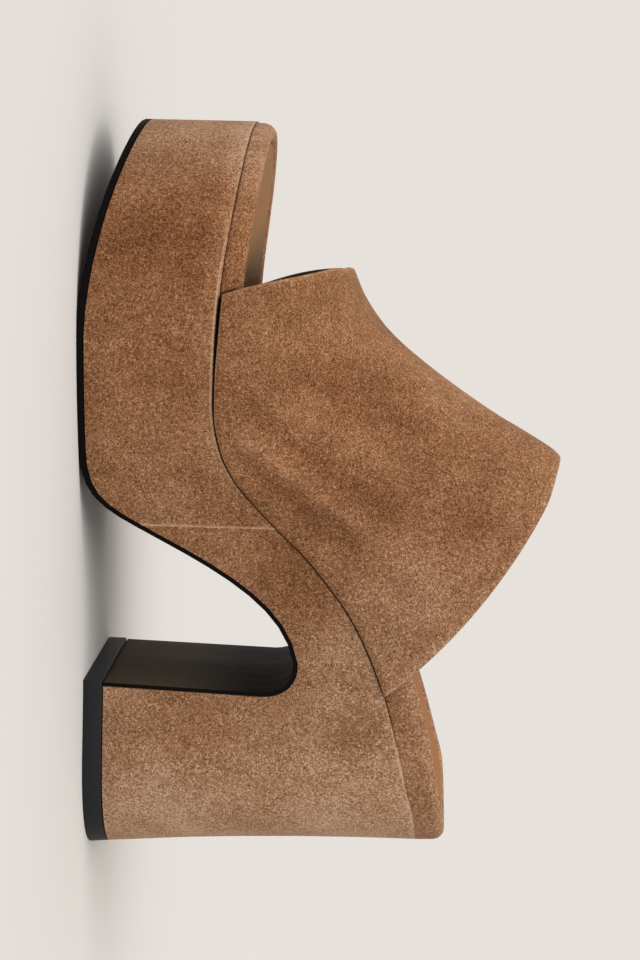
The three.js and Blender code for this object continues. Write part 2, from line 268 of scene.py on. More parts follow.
class Finish:
    """A material: its Principled shader, a method that adds any other node, and short ways to the
    common ones."""

    def __init__(self, name, **constants):
        self.material = bpy.data.materials.new(name)
        self.material.use_nodes = True
        self.nodes = self.material.node_tree.nodes
        self.shader = self.nodes["Principled BSDF"]
        for socket, value in constants.items():
            self.shader.inputs[socket.replace("_", " ")].default_value = value

    def node(self, kind, settings, inputs, output=0):
        """Adds a node. Settings go on first, then the sockets by name or place."""
        node = self.nodes.new("ShaderNode" + kind)
        for key, value in settings.items():
            if key == "stops":
                elements = node.color_ramp.elements
                for stop, (place, colour) in enumerate(value):
                    element = elements[stop] if stop < 2 else elements.new(place)
                    element.position = place
                    element.color = (*colour, 1)
            elif key == "points":
                curve = node.mapping.curves[0]
                for place, (x, y) in enumerate(value):
                    point = curve.points[place] if place < 2 else curve.points.new(x, y)
                    point.location = (x, y)
                node.mapping.update()
            else:
                setattr(node, key, value)
        for key, value in inputs.items():
            connect(value, node.inputs[key])
        return Signal(node.outputs[output])

    def place(self):
        """Object coordinates in millimetres."""
        here = self.node("TexCoord", {}, {}, "Object")
        return self.node("VectorMath", {"operation": "SCALE"}, {0: here, "Scale": millimetres})

    def axes(self, place):
        """The three numbers of a vector."""
        parts = self.nodes.new("ShaderNodeSeparateXYZ")
        connect(place, parts.inputs[0])
        return [Signal(output) for output in parts.outputs]

    def stored(self, name):
        """A number that the mesh holds at each of its points."""
        return self.node("Attribute", {"attribute_name": name}, {}, "Fac")

    def noise(self, place, scale, detail, roughness):
        """Noise between 0 and 1, with scale in grains per millimetre."""
        inputs = {"Vector": place, "Scale": scale, "Detail": detail, "Roughness": roughness}
        return self.node("TexNoise", {}, inputs)

    def stretched(self, place, along):
        """Coordinates squeezed by the three factors of along."""
        return self.node("VectorMath", {"operation": "MULTIPLY"}, {0: place, 1: along})

    def blend(self, factor, first, second, kind="MIX"):
        """A mix of two colours."""
        settings = {"data_type": "RGBA", "blend_type": kind, "clamp_factor": True}
        node = self.nodes.new("ShaderNodeMix")
        for key, value in settings.items():
            setattr(node, key, value)
        connect(factor, node.inputs["Factor"])
        for socket, colour in ((node.inputs[6], first), (node.inputs[7], second)):
            connect(colour if isinstance(colour, Signal) else (*colour, 1), socket)
        return Signal(node.outputs[2])

    def bump(self, height, distance, strength, under=None):
        """A bump of that depth in metres, over another where there is one."""
        inputs = {"Height": height, "Distance": distance, "Strength": strength}
        if under is not None:
            inputs["Normal"] = under
        return self.node("Bump", {}, inputs)

    def set(self, socket, value):
        """Puts a value or a signal on the shader."""
        connect(value, self.shader.inputs[socket])


def brushed(finish, place, patches):
    """Soft patches where the nap lies another way: x along the shoe, z above the floor and radius,
    all in millimetres, and tone, which is above 0 where the patch is paler."""
    flat = finish.stretched(place, (1.0, 0.0, 1.0))
    total = 0.0
    for patch in patches:
        centre = (patch["x"], 0.0, patch["z"])
        away = finish.node("VectorMath", {"operation": "DISTANCE"}, {0: flat, 1: centre}, "Value")
        total = total + away.fade(patch["radius"] * 0.15, patch["radius"]) * patch["tone"]
    return total


def suede(name, tone=0.0, paler=None, darker=None, patches=(), painted_gap_shadow=None, bare=None):
    """Brown suede with a short speckled nap. tone lightens it all over. paler, darker, bare and the
    painted gap shadow are functions that take the finish and its coordinates in millimetres and give a
    share by place: painted black shadow in the gaps at the seams, and cream on a bare lip."""
    finish = Finish(name, Roughness=0.95, Sheen_Weight=0.12, Sheen_Roughness=0.4, Specular_IOR_Level=0.12)
    finish.shader.inputs["Sheen Tint"].default_value = (0.90, 0.66, 0.46, 1)
    place = finish.place()
    nap = finish.noise(place, 2.7, 1.5, 0.6)
    tuft = finish.noise(place, 1.15, 1.5, 0.5)
    fibre = finish.noise(finish.stretched(place, (2.0, 2.6, 1.0)), 1.1, 1.0, 0.5)
    clump = finish.noise(place, 0.3, 2.5, 0.55)
    mottle = finish.noise(finish.stretched(place, (1.0, 1.0, 0.75)), 0.07, 3.0, 0.55)
    patch = finish.noise(place, 0.018, 2.0, 0.5)
    speck = (nap - 0.5) * 1.75 + (tuft - 0.5) * 0.8 + (fibre - 0.5) * 0.35
    drift = (clump - 0.5) * 0.26 + (mottle - 0.5) * 0.42 + (patch - 0.5) * 0.4
    lay = brushed(finish, place, patches) if patches else 0.0
    share = speck + drift + 0.5 + tone + lay
    # How far a full share of paler or darker moves the tone. Besides the suede's own paler and darker
    # places, these carry painted highlights and painted shade.
    tone_shift = 0.14
    if paler:
        share = share + paler(finish, place) * tone_shift
    if darker:
        share = share - darker(finish, place) * tone_shift
    stops = [
        (0.04, (0.070, 0.026, 0.010)),
        (0.34, (0.172, 0.074, 0.031)),
        (0.54, (0.250, 0.120, 0.056)),
        (0.74, (0.336, 0.188, 0.103)),
        (1.00, (0.500, 0.335, 0.222)),
    ]
    colour = finish.node("ValToRGB", {"stops": stops}, {"Fac": share})
    redder = (mottle * 1.7 - 0.6 - lay * 5.0).clipped() * 0.36
    red_tint = (1.0, 0.80, 0.66)
    colour = finish.blend(redder, colour, red_tint, "MULTIPLY")
    # Sandier round the heel and the toe, and richer between them.
    x = finish.axes(place)[0]
    sandy_tint = (1.0, 1.06, 1.14)
    rich_tint = (0.985, 0.945, 0.885)
    tint = finish.blend(x.ramp(-80, 50) * x.fade(88, 114), sandy_tint, rich_tint)
    colour = finish.blend(1.0, colour, tint, "MULTIPLY")
    # Cream on bare lips, and on the platform's sewn edge a painted highlight.
    if bare:
        cream = (0.60, 0.43, 0.29)
        colour = finish.blend(bare(finish, place), colour, cream)
    # Painted black shadow in the gaps at the seams, where the parts meet.
    if painted_gap_shadow:
        shadow_black = (0.010, 0.006, 0.004)
        colour = finish.blend(painted_gap_shadow(finish, place), colour, shadow_black)
    finish.set("Base Color", colour)
    soft = finish.bump(clump * 0.6 + mottle, 0.0007, 0.4)
    finish.set("Normal", finish.bump(nap * 0.7 + tuft * 0.6 + fibre * 0.3, 0.00028, 0.7, soft))
    return finish


def below_seam(finish, place):
    """How far below the seam line a point lies, in millimetres."""
    x, _, z = finish.axes(place)
    at = (x - heel_back * millimetres) / (shoe_length * millimetres)
    full = ball_height + heel_pitch
    points = [(row["at"], seam_height(row["at"] * shoe_length) / full) for row in seam_rows]
    height = finish.node("FloatCurve", {"points": points}, {"Value": at})
    return height * (full * millimetres) - z


def arch_seam_at(finish, place):
    """Where the covers' seam crosses at that breadth, in millimetres along the shoe."""
    y = finish.axes(place)[1]
    return (y - axis_y * millimetres) * cover_seam_slope + arch_seam_x(axis_y) * millimetres


def platform_paler_and_seam_highlight(finish, place):
    """Paler along the turned edge under the seam and round the toe, with a painted highlight along the
    sewn back edge.
    """
    x = finish.axes(place)[0]
    below = below_seam(finish, place)
    # Painted highlight along the covers' seam.
    seam_highlight = (x - arch_seam_at(finish, place)).fade(0.3, 1.4) * 1.5
    return below.fade(1.5, 7.5) + below.fade(0.3, 1.3) * 1.1 + x.ramp(98, 113) * 0.7 + seam_highlight


def along_front(finish, place):
    """Place along the shoe in millimetres, less what the upper's front edge lies further forward on
    the outer side, so that this edge starts at 59 on both sides."""
    x, y, _ = finish.axes(place)
    return x - y.ramp(-12, 12) * 7


def under_upper(finish, place):
    """1 as far along the shoe as the upper is caught, and 0 in front of it and behind it."""
    return along_front(finish, place).fade(57, 58.6) * finish.axes(place)[0].ramp(-57, -54)


def platform_bare_lip_and_seam_highlight(finish, place):
    """The turned lip beside the upper's front corner, and a painted highlight on the sewn edge across the
    arch.
    """
    x = finish.axes(place)[0]
    below = below_seam(finish, place)
    lip = below.ramp(0.25, 0.5) * below.fade(0.7, 1.2) * x.ramp(0, 40) * x.fade(68, 92) * 0.45
    # Painted highlight along the covers' seam, in cream.
    seam_highlight = (x - arch_seam_at(finish, place)).fade(0.3, 0.9) * 0.26
    return lip + seam_highlight


def platform_gap_shadow(finish, place):
    """Painted black shadow on the flat top just inside its edge, under the upper and, thinner, round the
    toe.
    """
    round_toe = finish.axes(place)[0].ramp(70, 96) * 0.4
    return below_seam(finish, place).fade(0.02, 0.32) * (under_upper(finish, place) + round_toe).clipped()


platform = cover_from_frame("platform", "platform_cover", cover_edge, moved=-fit_gap / 2)
platform_patches = [
    {"x": 84, "z": 30, "radius": 26, "tone": -0.06},
    {"x": 2, "z": 20, "radius": 26, "tone": 0.05},
    {"x": 44, "z": 26, "radius": 20, "tone": -0.02},
    {"x": 100, "z": 18, "radius": 14, "tone": 0.04},
]
platform_suede = suede(
    "platform suede",
    tone=-0.045,
    paler=platform_paler_and_seam_highlight,
    patches=platform_patches,
    painted_gap_shadow=platform_gap_shadow,
    bare=platform_bare_lip_and_seam_highlight,
)
platform.data.materials.append(platform_suede.material)
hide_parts("platform")
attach(platform, "root")


# Heel
# The block heel and the back of the arch in one suede cover, wrapped round the block and sewn to the
# platform's cover. It is darker behind the seam and paler down the back, where it has been brushed.
def heel_worn(finish, place):
    """Paler down the back of the block, along its turned top edge and just above the top lift."""
    x, _, z = finish.axes(place)
    below = below_seam(finish, place)
    back = x.fade(-110, -70) * 1.1
    lip = below.fade(0.3, 1.1) * x.fade(-70, -60) * 0.8
    return below.fade(0.5, 3.5) * 0.6 + back + z.fade(4, 16) * 0.3 + lip


def heel_shaded(finish, place):
    """Darker just behind the covers' seam."""
    x = finish.axes(place)[0]
    return (x - arch_seam_at(finish, place)).ramp(-34, -2) * 0.55


def heel_gap_shadow(finish, place):
    """Painted black shadow on the edge that the upper hides."""
    return below_seam(finish, place).fade(0.15, 0.4) * under_upper(finish, place) * 0.85


heel = cover_from_frame("heel", "heel_cover", cover_edge, moved=fit_gap / 2)
heel_patches = [
    {"x": -20, "z": 62, "radius": 22, "tone": -0.07},
    {"x": -52, "z": 78, "radius": 20, "tone": 0.07},
    {"x": -72, "z": 34, "radius": 20, "tone": -0.05},
    {"x": -92, "z": 30, "radius": 24, "tone": 0.06},
    {"x": -94, "z": 84, "radius": 26, "tone": 0.07},
    {"x": -76, "z": 66, "radius": 22, "tone": 0.04},
]
heel_suede = suede(
    "heel suede",
    tone=0.07,
    paler=heel_worn,
    darker=heel_shaded,
    patches=heel_patches,
    painted_gap_shadow=heel_gap_shadow,
)
heel.data.materials.append(heel_suede.material)
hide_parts("heel")
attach(heel, "root")

# Outsole
# One black rubber sheet, cemented from the toe under the arch and down the front of the heel, with its
# edge trimmed flush and polished. It is smooth, with a painted brown sheen in soft bands on the front of
# the heel.
rubber_edge = 0.0005
outsole = cover_from_frame("outsole", "outsole_sheet", rubber_edge)
trimmed = outsole.data.attributes.new("trimmed_edge", "FLOAT", "POINT")
trimmed.data.foreach_set("value", [abs(vertex.normal.y) for vertex in outsole.data.vertices])
sole_finish = Finish("black sole", Roughness=0.5, Specular_IOR_Level=0.02)
sole_place = sole_finish.place()
sole_grain = sole_finish.noise(sole_place, 0.9, 3.0, 0.6)
sole_band = sole_finish.noise(sole_finish.stretched(sole_place, (0.3, 1.0, 0.12)), 0.16, 2.0, 0.5)
sole_x, _, sole_z = sole_finish.axes(sole_place)
# Painted sheen: soft brown bands of reflection on the black front of the heel.
sole_painted_sheen = sole_finish.blend(sole_band.ramp(0.3, 0.75), (0.049, 0.036, 0.024), (0.061, 0.044, 0.030))
breast_sheen_area = sole_x.fade(-54, -48) * sole_z.ramp(3, 9) * sole_z.fade(24, 54)
sole_colour = sole_finish.blend(breast_sheen_area, (0.0060, 0.0050, 0.0040), sole_painted_sheen)
sole_side = sole_finish.stored("trimmed_edge").ramp(0.4, 0.8)
sole_colour = sole_finish.blend(sole_side, sole_colour, (0.0050, 0.0045, 0.0045))
sole_finish.set("Base Color", sole_colour)
sole_finish.set("Roughness", sole_grain * 0.12 + sole_band * 0.2 + 0.40)
sole_finish.set("Normal", sole_finish.bump(sole_grain, 0.00010, 0.4))
outsole.data.materials.append(sole_finish.material)
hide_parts("outsole")
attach(outsole, "root")

# Top lift
# The black wearing piece under the heel. It is cut from hard rubber to the heel's outline and pinned
# on, and it is a little greyer and duller than the sheet.
lift = cover_from_frame("top_lift", "top_lift_rubber", rubber_edge)
lift_finish = Finish("top lift rubber", Roughness=0.62, Specular_IOR_Level=0.2)
lift_place = lift_finish.place()
lift_grain = lift_finish.noise(lift_place, 1.6, 2.0, 0.6)
lift_colour = lift_finish.blend(lift_grain, (0.0085, 0.009, 0.010), (0.0155, 0.0165, 0.018))
lift_finish.set("Base Color", lift_colour)
lift_finish.set("Roughness", lift_grain * 0.2 + 0.52)
lift_finish.set("Normal", lift_finish.bump(lift_grain, 0.00015, 0.5))
lift.data.materials.append(lift_finish.material)
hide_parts("top_lift")
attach(lift, "root")

# Footbed
# A shaped board wrapped in the same suede over thin foam, with a plump rounded rim round the bed that
# takes the sock. It sits on the platform and the heel, and the upper's edge is caught along its sides.
ball_width = 0.090
toe_end = {"length": 0.056, "power": 2.5}
heel_end = {"length": 0.033, "power": 2.35}
heel_lean = 0.0046
breast_top = 0.057
footbed_inset = 0.0012
footbed_thickness = {"heel": 0.009, "toe": 0.006}

# Plan outline. at: share of the length. centre and breadth: shares of the ball width, with the centre
# positive to the outer side.
outline_rows = [
    {"at": 0.0, "centre": 0.0, "breadth": 0.69},
    {"at": 0.14, "centre": 0.0, "breadth": 0.695},
    {"at": 0.28, "centre": 0.008, "breadth": 0.675},
    {"at": 0.42, "centre": 0.03, "breadth": 0.7},
    {"at": 0.55, "centre": 0.042, "breadth": 0.81},
    {"at": 0.66, "centre": 0.034, "breadth": 0.94},
    {"at": 0.76, "centre": 0.018, "breadth": 1.0},
    {"at": 0.88, "centre": -0.016, "breadth": 0.985},
    {"at": 1.0, "centre": -0.05, "breadth": 0.93},
]
centre_share = smooth(outline_rows, "at", "centre")
breadth_share = smooth(outline_rows, "at", "breadth")


def end_share(end, into):
    """Share of the breadth that a rounded end leaves, a distance into that end."""
    depth = min(max(into / end["length"], 0), 1)
    return max(1 - depth ** end["power"], 0) ** (1 / end["power"])


def edge_y(along, side):
    """The platform's edge beside a place on the shoe, measured from its middle line. side is 1 on
    the outer side."""
    at = along / shoe_length
    heel_share = end_share(heel_end, heel_end["length"] - along)
    toe_share = end_share(toe_end, along - (shoe_length - toe_end["length"]))
    return ball_width * (centre_share(at) + side * breadth_share(at) * heel_share * toe_share / 2)


def soft_step(x, start, end):
    """0 before start, 1 after end, and smooth between them."""
    share = min(max((x - start) / (end - start), 0), 1)
    return share * share * (3 - 2 * share)


def stations(end_steps, side_steps):
    """Places along the shoe, closest together round the heel and the toe."""
    quarter = math.pi / 2
    toe_start = shoe_length - toe_end["length"]
    heel_turns = [math.sin(quarter * (1 - i / end_steps)) for i in range(end_steps)]
    toe_turns = [math.sin(quarter * i / end_steps) for i in range(end_steps + 1)]
    sides = [i / side_steps for i in range(side_steps)]
    places = [heel_end["length"] * (1 - turn ** (2 / heel_end["power"])) for turn in heel_turns]
    places += [heel_end["length"] + (toe_start - heel_end["length"]) * share for share in sides]
    places += [toe_start + toe_end["length"] * turn ** (2 / toe_end["power"]) for turn in toe_turns]
    return places


def bare_share(along):
    """0 under the upper, 1 in front of it and behind it, and a little more round the heel."""
    covered = soft_step(along, 0.047, 0.055) * (1 - soft_step(along, 0.183, 0.191))
    return 1 - covered + 0.4 * (1 - soft_step(along, 0.01, 0.045))


def plan_loop(inset, places, proud=0):
    """The plan outline as a closed loop: heel, outer side, toe, inner side, moved in by inset, and
    out again by proud where the upper leaves the footbed bare."""
    loop = [Vector((x, edge_y(x, 1))) for x in places]
    loop += [Vector((x, edge_y(x, -1))) for x in reversed(places[1:-1])]
    moved = []
    for i, point in enumerate(loop):
        along = loop[(i + 1) % len(loop)] - loop[i - 1]
        inwards = Vector((along.y, -along.x)).normalized()
        moved.append(point + inwards * (inset - proud * bare_share(point.x)))
    return moved


def on_seat(point, up=None, below=None):
    """A place square to the seat: that far up from it, or below the top of the footbed's rim."""
    step = 0.0005
    slope = (seam_height(point.x + step) - seam_height(point.x - step)) / (2 * step)
    square = Vector((-slope, 1)).normalized()
    share = point.x / shoe_length
    rim_top = footbed_thickness["heel"] * (1 - share) + footbed_thickness["toe"] * share
    height = rim_top - below if up is None else up
    lean = heel_lean * (1 - soft_step(point.x, 0, breast_top))
    x = heel_back + point.x + lean + square.x * height
    return Vector((x, axis_y + point.y, seam_height(point.x) + square.y * height))


def plumper(point):
    """Share of the rim's extra height on the outer side, beside the upper's back corner."""
    near_corner = soft_step(point.x, 0.018, 0.05) * (1 - soft_step(point.x, 0.062, 0.09))
    return near_corner * soft_step(point.y, 0, 0.01)


def seat_form(name, rows, across, crown):
    """A closed form on the seat. rows is its section from the lower edge up over the rim: inset from
    the platform's edge, and up from the seat or below the rim's top. proud is how far it stands out
    where it is bare, tuck how far it drops round the heel, and plump how far it rises beside the
    upper's back corner. Its middle is across faces wide and crowned by crown."""
    places = stations(end_steps=20, side_steps=64)
    crown_run = 8
    loops = [plan_loop(row["inset"], places, row.get("proud", 0)) for row in rows]
    count = len(loops[0])
    last = len(places) - 1

    def raised(point, row):
        up = row.get("up")
        below = row.get("below")
        if below is not None:
            below -= row.get("plump", 0) * plumper(point)
        if up is not None:
            up -= row.get("tuck", 0) * (1 - soft_step(point.x, 0.036, 0.054))
        return on_seat(point, up, below)

    def section(i):
        outer = [raised(loop[i], row) for loop, row in zip(loops, rows)]
        inner = [raised(loop[(count - i) % count], row) for loop, row in zip(loops, rows)]
        middle = []
        for j in range(1, across):
            share = j / across
            flat = loops[-1][i].lerp(loops[-1][(count - i) % count], share)
            rise = crown * (1 - (2 * share - 1) ** 4) * min(i, last - i, crown_run) / crown_run
            middle.append(on_seat(flat, None, rows[-1]["below"] - rise))
        under = []
        for j in range(1, across):
            flat = loops[0][(count - i) % count].lerp(loops[0][i], j / across)
            under.append(raised(flat, rows[0]))
        return outer + middle + inner[::-1] + under + outer[:1]

    sections = [section(i) for i in range(last + 1)]
    around = len(sections[0]) - 1
    piece = grid_piece(
        name,
        last,
        around,
        lambda along, over: sections[round(along * last)][round(over * around)],
    )
    edit(
        piece,
        lambda: bpy.ops.mesh.remove_doubles(threshold=same_point),
        lambda: bpy.ops.mesh.normals_make_consistent(inside=False),
    )
    bpy.ops.object.shade_smooth()
    return piece


def grid_piece(name, columns, rows, where):
    """A grid whose points are set by where(share of the columns, share of the rows)."""
    bpy.ops.object.select_all(action="DESELECT")
    bpy.ops.mesh.primitive_grid_add(x_subdivisions=columns, y_subdivisions=rows, size=1)
    piece = bpy.context.object
    piece.name = name
    piece.data.name = name
    for vertex in piece.data.vertices:
        vertex.co = where(vertex.co.x + 0.5, vertex.co.y + 0.5)
    return piece


footbed_section = [
    {"inset": footbed_inset + 0.0006, "up": 0.0001, "proud": 0.0009, "tuck": 0.0002},
    {"inset": footbed_inset + 0.0002, "up": 0.0003, "proud": 0.0009, "tuck": 0.0011},
    {"inset": footbed_inset + 0.0001, "up": 0.0008, "proud": 0.0009, "tuck": 0.0012},
    {"inset": footbed_inset, "up": 0.0020, "proud": 0.0009, "tuck": 0.0010},
    {"inset": footbed_inset, "below": 0.0034, "proud": 0.0009, "plump": 0.0006},
    {"inset": footbed_inset + 0.0002, "below": 0.0020, "proud": 0.0008, "plump": 0.0014},
    {"inset": footbed_inset + 0.0007, "below": 0.0010, "proud": 0.0006, "plump": 0.0018},
    {"inset": footbed_inset + 0.0015, "below": 0.0002, "proud": 0.0004, "plump": 0.0019},
    {"inset": footbed_inset + 0.0024, "below": 0.0, "proud": 0.0002, "plump": 0.0019},
    {"inset": footbed_inset + 0.0033, "below": 0.0003, "plump": 0.0018},
    {"inset": footbed_inset + 0.0040, "below": 0.0009, "plump": 0.0013},
    {"inset": footbed_inset + 0.0044, "below": 0.0016, "plump": 0.0006},
    {"inset": footbed_inset + 0.0046, "below": 0.0022},
]
footbed = seat_form("footbed_wrap", footbed_section, across=6, crown=0.0)


def footbed_paler(finish, place):
    """Paler over the top of the rim and towards the heel and the toe."""
    above = 0 - below_seam(finish, place)
    x = finish.axes(place)[0]
    return above.ramp(5, 9) * 0.5 + x.fade(-100, -50) * 0.35 + x.ramp(82, 112) * 0.8


def footbed_gap_shadow(finish, place):
    """Painted black shadow low on its side, where the upper's edge is caught, with a thin line round the
    toe and another up its side under the upper's leaning front edge."""
    above = 0 - below_seam(finish, place)
    round_toe = finish.axes(place)[0].ramp(70, 96) * above.fade(0.15, 0.45) * 0.3
    from_edge = along_front(finish, place) - above * 0.3
    front_edge_shadow = from_edge.ramp(57, 59) * from_edge.fade(59.0, 59.5) * above.fade(4.5, 6.5) * 0.75
    return (above.fade(2.0, 2.6) * under_upper(finish, place) + round_toe + front_edge_shadow).clipped()


footbed_suede = suede("footbed suede", paler=footbed_paler, painted_gap_shadow=footbed_gap_shadow)
footbed.data.materials.append(footbed_suede.material)
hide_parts("footbed")
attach(footbed, "root")

# Sock
# The sheet of tan leather that the foot stands on, skived thin at its edge and glued over foam into the
# bed of the footbed. It is smooth and waxy and browner towards the toe, with a painted shadow of the
# vamp darkening it under the upper.
sock_inset = footbed_section[-1]["inset"] + fit_gap
sock_section = [
    {"inset": sock_inset, "below": 0.0020},
    {"inset": sock_inset, "below": 0.0012},
    {"inset": sock_inset + 0.0003, "below": 0.0009},
    {"inset": sock_inset + 0.0009, "below": 0.0007},
    {"inset": sock_inset + 0.0020, "below": 0.0006},
]
sock = seat_form("sock_leather_sheet", sock_section, across=22, crown=0.0002)
sock_finish = Finish("tan sock leather", Roughness=0.5, Specular_IOR_Level=0.02)
sock_place = sock_finish.place()
sock_x = sock_finish.axes(sock_place)[0]
sock_cells = {"Vector": sock_place, "Scale": 1.3, "Randomness": 1.0}
sock_grain = sock_finish.node("TexVoronoi", {"feature": "DISTANCE_TO_EDGE"}, sock_cells)
sock_pore = sock_finish.noise(sock_place, 2.6, 2.0, 0.6)
sock_cloud = sock_finish.noise(sock_place, 0.045, 3.0, 0.55)
sock_colour = sock_finish.blend(sock_cloud, (0.235, 0.092, 0.024), (0.320, 0.136, 0.040))
sock_colour = sock_finish.blend(sock_x.ramp(-95, 30) * 0.75, sock_colour, (0.215, 0.107, 0.037))
# Painted shadow of the vamp, darkening the sock under the upper.
sock_vamp_shadow = sock_x.fade(64, 86) * sock_x.ramp(-40, 30) * 0.88
sock_colour = sock_finish.blend(sock_vamp_shadow, sock_colour, (0.042, 0.019, 0.007))
sock_colour = sock_finish.blend(sock_pore.ramp(0.58, 0.72) * 0.18, sock_colour, (0.20, 0.10, 0.05))
sock_finish.set("Base Color", sock_colour)
sock_finish.set("Roughness", sock_cloud * 0.18 + sock_pore * 0.12 + 0.36)
sock_relief = sock_grain.ramp(0.0, 0.22) * 0.7 + sock_pore * 0.3
sock_finish.set("Normal", sock_finish.bump(sock_relief, 0.00012, 0.45))
sock.data.materials.append(sock_finish.material)
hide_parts("sock")
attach(sock, "root")

# Vamp
# The whole upper is one wide band of suede with a thin dark lining cemented behind it, lasted over the
# foot's form. Its lower edges are caught beside the footbed; its front and top edges are folded hems.
upper_wall = 0.002
upper_front = {1: 0.181, -1: 0.174}
upper_back = {1: 0.057, -1: 0.057}
throat = {"at": 0.1863, "height": 0.079, "aside": -0.004}
instep = {"at": 0.1265, "height": 0.147, "aside": -0.002}
front_bow = {1: 0.0016, -1: -0.0001}
front_trim = {1: 0.0012, -1: -0.0015}
front_lift = 0.00065
back_bow = 0.005
side_bulge = 0.0016
front_power = 2.35
back_power = 2.25
corner_round = {"throat": 0.014, "instep": 0.02}

# Ridge from the throat to the instep. along: share of the way back. rise: share of the way up.
ridge_rows = [
    {"along": 0.0, "rise": 0.0},
    {"along": 0.15, "rise": 0.057},
    {"along": 0.3, "rise": 0.147},
    {"along": 0.4, "rise": 0.235},
    {"along": 0.53, "rise": 0.38},
    {"along": 0.65, "rise": 0.53},
    {"along": 0.76, "rise": 0.68},
    {"along": 0.87, "rise": 0.85},
    {"along": 0.95, "rise": 0.96},
    {"along": 1.0, "rise": 1.0},
]
ridge_rise = smooth(ridge_rows, "along", "rise")

# Soft creases in side view, in millimetres from the back of the heel and above the floor: lower end,
# upper end, half width, and depth, which is negative for a fold that stands out.
creases = [
    {"side": 1, "low": (145, 53), "high": (114, 92), "width": 4.6, "depth": 1.2},
    {"side": 1, "low": (137, 50), "high": (112, 83), "width": 3.8, "depth": -0.7},
    {"side": 1, "low": (127, 52), "high": (107, 80), "width": 3.8, "depth": 1.0},
    {"side": 1, "low": (118, 57), "high": (99, 85), "width": 3.8, "depth": -0.6},
    {"side": 1, "low": (110, 70), "high": (90, 98), "width": 4.2, "depth": 0.9},
    {"side": 1, "low": (158, 58), "high": (148, 84), "width": 8.0, "depth": 0.7},
    {"side": 1, "low": (147, 88), "high": (134, 118), "width": 9.0, "depth": 0.6},
    {"side": 1, "low": (150, 66), "high": (131, 92), "width": 5.0, "depth": -0.5},
    {"side": -1, "low": (148, 54), "high": (122, 88), "width": 4.8, "depth": 1.1},
    {"side": -1, "low": (139, 52), "high": (117, 80), "width": 4.0, "depth": -0.6},
    {"side": -1, "low": (128, 53), "high": (106, 82), "width": 4.4, "depth": 0.9},
    {"side": -1, "low": (112, 66), "high": (92, 94), "width": 4.4, "depth": 0.7},
    {"side": -1, "low": (150, 86), "high": (138, 112), "width": 9.0, "depth": 0.6},
]


def crease_depth(point, side):
    """How far the creases press the suede in beside a place on its side."""
    here = Vector((point.x, point.z)) * millimetres
    total = 0
    for crease in creases:
        if crease["side"] != side:
            continue
        low = Vector(crease["low"])
        run = Vector(crease["high"]) - low
        share = (here - low).dot(run) / run.length_squared
        off = (here - low - run * share).length / crease["width"]
        beyond = max(share - 1, -share, 0) * run.length / (crease["width"] * 1.8)
        total += crease["depth"] * math.exp(-off * off - beyond * beyond)
    return total / millimetres


def vamp_form(t, angle):
    """A point of the lasted form, its side, and how near the ridge it lies. t runs from the toe
    opening to the topline, and angle over the ridge from the outer seam to the inner one."""
    side = 1 if angle <= math.pi / 2 else -1
    power = front_power + (back_power - front_power) * t
    up = abs(math.sin(angle)) ** (2 / power)
    out = abs(math.cos(angle)) ** (2 / power)
    # Both open edges are rounded off where they cross the ridge.
    near_ridge = soft_step(up, 0.86, 1)
    t_front = corner_round["throat"] * near_ridge
    t_back = 1 - corner_round["instep"] * near_ridge
    t = t_front + (t_back - t_front) * t
    # In side view, a bowed line from the seam to the ridge, trimmed beside the ridge at the opening.
    foot_x = upper_front[side] + (upper_back[side] - upper_front[side]) * t
    ridge_x = throat["at"] + (instep["at"] - throat["at"]) * t
    ridge_z = throat["height"] + (instep["height"] - throat["height"]) * ridge_rise(t)
    foot = Vector((foot_x, seam_height(foot_x) + fit_gap))
    chord = Vector((ridge_x, ridge_z)) - foot
    square = Vector((-chord.y, chord.x)).normalized()
    bow = (-front_bow[side] + (back_bow + front_bow[side]) * soft_step(t, 0, 1)) * 4 * up * (1 - up)
    beside_ridge = soft_step(out, 0, 0.25) * (1 - soft_step(out, 0.5, 1))
    bow -= front_trim[side] * beside_ridge * (1 - soft_step(t, 0, 0.3))
    point = foot + chord * up + square * bow
    # Its breadth follows the platform's edge and swells a little over the foot.
    edge_x = point.x + (foot_x - point.x) * soft_step(up, 0.1, 0.6)
    overhang = upper_wall + fit_gap - footbed_inset
    swell = side_bulge * math.sin(math.pi * min(up * 1.6, 1)) * (1 - 0.5 * t)
    half_width = edge_y(edge_x, side) + side * (overhang + swell)
    aside = throat["aside"] + (instep["aside"] - throat["aside"]) * t
    return Vector((point.x, half_width * out + aside * up, point.y)), side, up


# Filled by vamp_place, in the order of the grid's points.
from_edges = []


def vamp_place(along, over):
    """A point of the creased outside. It notes how far it lies from the hems and the seam."""
    angle = math.pi * over
    point, side, up = vamp_form(along, angle)
    step = 0.004
    back = vamp_form(min(along + step, 1), angle)[0] - vamp_form(max(along - step, 0), angle)[0]
    further = vamp_form(along, min(angle + step, math.pi))[0]
    nearer = vamp_form(along, max(angle - step, 0))[0]
    inwards = (further - nearer).cross(back).normalized()
    from_opening = (point - vamp_form(0, angle)[0]).length
    from_topline = (point - vamp_form(1, angle)[0]).length
    from_seam = point.z - seam_height(point.x)
    free = soft_step(from_seam, 0.001, 0.009) * soft_step(from_topline, 0.001, 0.012)
    free *= soft_step(1 - up, 0, 0.12)
    if side == 1:
        near_front = soft_step(point.x, 0.150, 0.172) * (1 - soft_step(from_seam, 0.001, 0.007))
        point = point + Vector((0, 0, front_lift * near_front))
    pressed = crease_depth(point, side) * free
    from_edges.append((from_opening, from_topline, from_seam, pressed))
    moved = point + inwards * pressed
    return Vector((heel_back + moved.x, axis_y + moved.y, moved.z))


